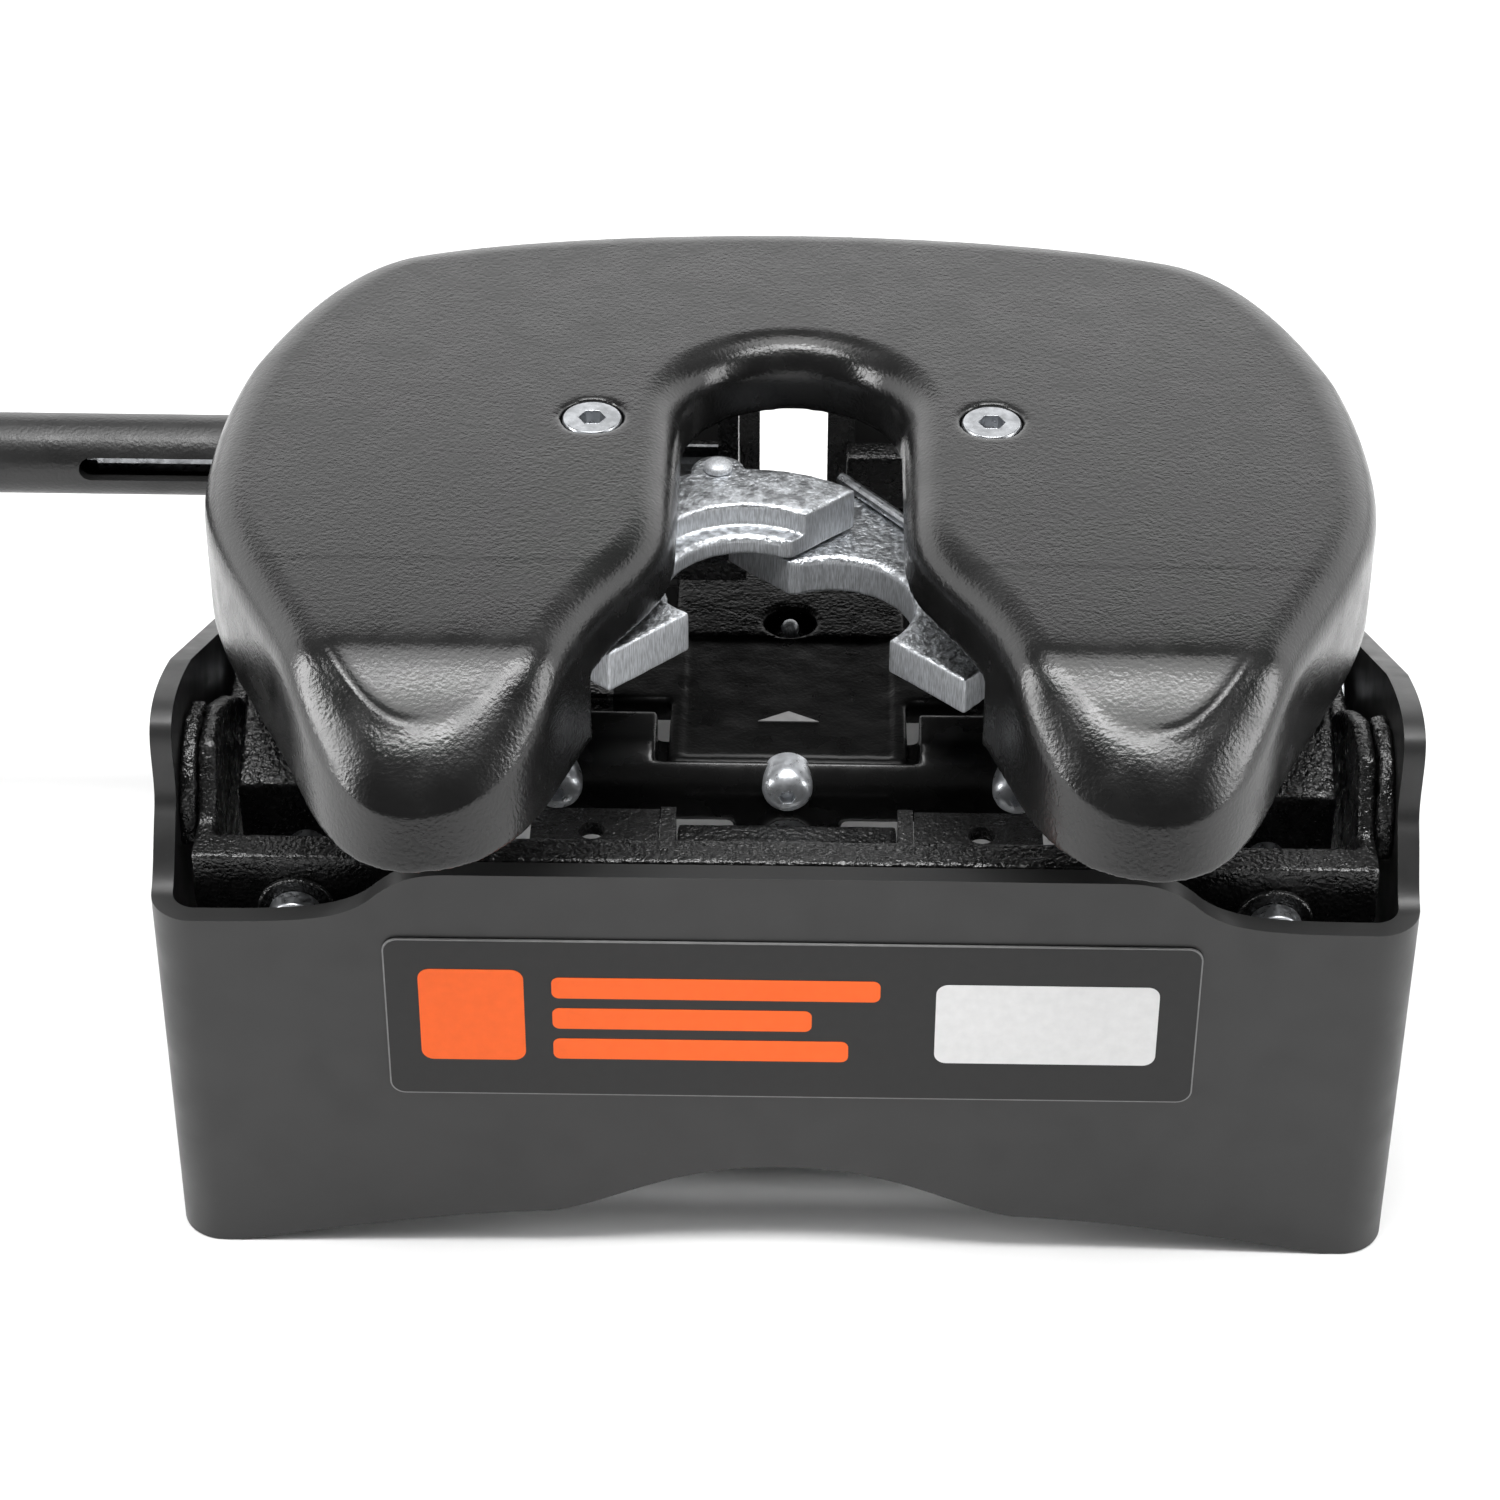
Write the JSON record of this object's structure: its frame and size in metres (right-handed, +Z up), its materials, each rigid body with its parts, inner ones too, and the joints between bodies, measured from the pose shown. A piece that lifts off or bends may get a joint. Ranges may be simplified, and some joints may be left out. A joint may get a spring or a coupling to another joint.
{
  "type": "fifth wheel hitch",
  "caption": "Pickup-bed fifth wheel hitch: bent-plate base, cast yoke, tilting horseshoe head, twin jaws round the kingpin throat and a side pull handle.",
  "frame": {"origin": "middle of the base of the part's bounding box, on the floor it stands on", "axes": "+X to the right seen from the trailer, +Y towards the truck cab, +Z up"},
  "size_m": [0.608, 0.358, 0.245],
  "materials": {
    "housing_powder": "satin powder coat",
    "deck_powder": "satin powder coat, fine grain",
    "black_casting": "black wrinkle coat on a rough casting",
    "zinc_plate": "bright zinc plate",
    "polymer": "matte",
    "label_film": "satin printed film",
    "handle_powder": "textured black powder coat",
    "grip_rubber": "matte ribbed"
  },
  "bodies": {
    "base": {"rear_housing_plate": "housing_powder", "front_housing_plate": "housing_powder", "yoke_frame": "black_casting", "name_plate": "label_film", "yoke_weld_left": "black_casting", "yoke_weld_right": "black_casting", "rail_tab_left": "black_casting", "rail_tab_right": "black_casting", "rail_web_left": "black_casting", "rail_web_right": "black_casting", "front_rib_left": "black_casting", "front_rib_right": "black_casting", "trunnion_bush_left": "polymer", "trunnion_bush_right": "polymer", "clamp_bolt_rear_left": "zinc_plate", "clamp_bolt_rear_right": "zinc_plate", "clamp_bolt_front_left": "zinc_plate", "clamp_bolt_front_right": "zinc_plate", "clamp_washer_rear_left": "black_casting", "clamp_washer_rear_right": "black_casting", "clamp_washer_front_left": "black_casting", "clamp_washer_front_right": "black_casting"},
    "rocker": {"trunnion_block_left": "black_casting", "trunnion_block_right": "black_casting", "trunnion_pin_left": "zinc_plate", "trunnion_pin_right": "zinc_plate", "rear_cross_beam": "deck_powder", "front_cross_beam": "deck_powder", "roll_shaft": "zinc_plate", "beam_bolt_left": "zinc_plate", "beam_bolt_middle": "zinc_plate", "beam_bolt_right": "zinc_plate"},
    "head": {"deck_casting": "deck_powder", "head_saddle": "black_casting", "roll_bush": "polymer", "grease_fitting": "zinc_plate", "jaw_pivot_bolt_left": "zinc_plate", "jaw_pivot_bolt_right": "zinc_plate", "jaw_pivot_nut_left": "zinc_plate", "jaw_pivot_nut_right": "zinc_plate", "left_lower_spacer": "zinc_plate", "left_upper_spacer": "zinc_plate", "right_lower_spacer": "zinc_plate", "right_upper_spacer": "zinc_plate", "lock_rail_left": "black_casting", "lock_rail_right": "black_casting", "guide_rod": "zinc_plate", "rod_bracket": "black_casting"},
    "left_jaw": {"left_jaw": "zinc_plate", "left_link_pin": "zinc_plate", "left_jaw_spring": "zinc_plate"},
    "right_jaw": {"right_jaw": "zinc_plate", "right_link_pin": "zinc_plate", "right_jaw_spring": "zinc_plate", "jaw_wire": "zinc_plate"},
    "lock_yoke": {"lock_yoke": "black_casting", "follower_pin": "zinc_plate"},
    "handle": {"handle_tube": "handle_powder", "cam_plate": "black_casting", "handle_grip": "grip_rubber"}
  },
  "joints": [
    {"name": "head_pitch", "type": "hinge", "parent": "base", "child": "rocker", "pos_m": [0.1, 0.023, 0.118], "axis": [1, 0, 0], "range_deg": [-6, 6], "stiffness_Nm_per_rad": 900},
    {"name": "head_roll", "type": "hinge", "parent": "rocker", "child": "head", "pos_m": [0.1, 0.023, 0.118], "axis": [0, 1, 0], "range_deg": [-3.5, 3.5], "stiffness_Nm_per_rad": 900},
    {"name": "handle_slide", "type": "slide", "parent": "head", "child": "handle", "axis": [1, 0, 0], "range_m": [0, 0.044]},
    {"name": "left_jaw_pivot", "type": "hinge", "parent": "head", "child": "left_jaw", "pos_m": [0.034, 0.003, 0.208], "axis": [0, 0, 1], "range_deg": [0, 46]},
    {"name": "right_jaw_pivot", "type": "hinge", "parent": "head", "child": "right_jaw", "pos_m": [0.166, 0.003, 0.193], "axis": [0, 0, 1], "range_deg": [-46, 0]},
    {"name": "lock_slide", "type": "slide", "parent": "head", "child": "lock_yoke", "axis": [0, 1, 0], "range_m": [0, 0.0255]}
  ],
  "couplings": [
    {"joint": "left_jaw_pivot", "follows": "handle_slide", "rad_per_m": 18.246},
    {"joint": "right_jaw_pivot", "follows": "handle_slide", "rad_per_m": -18.246},
    {"joint": "lock_slide", "follows": "handle_slide", "ratio": 0.5795}
  ]
}
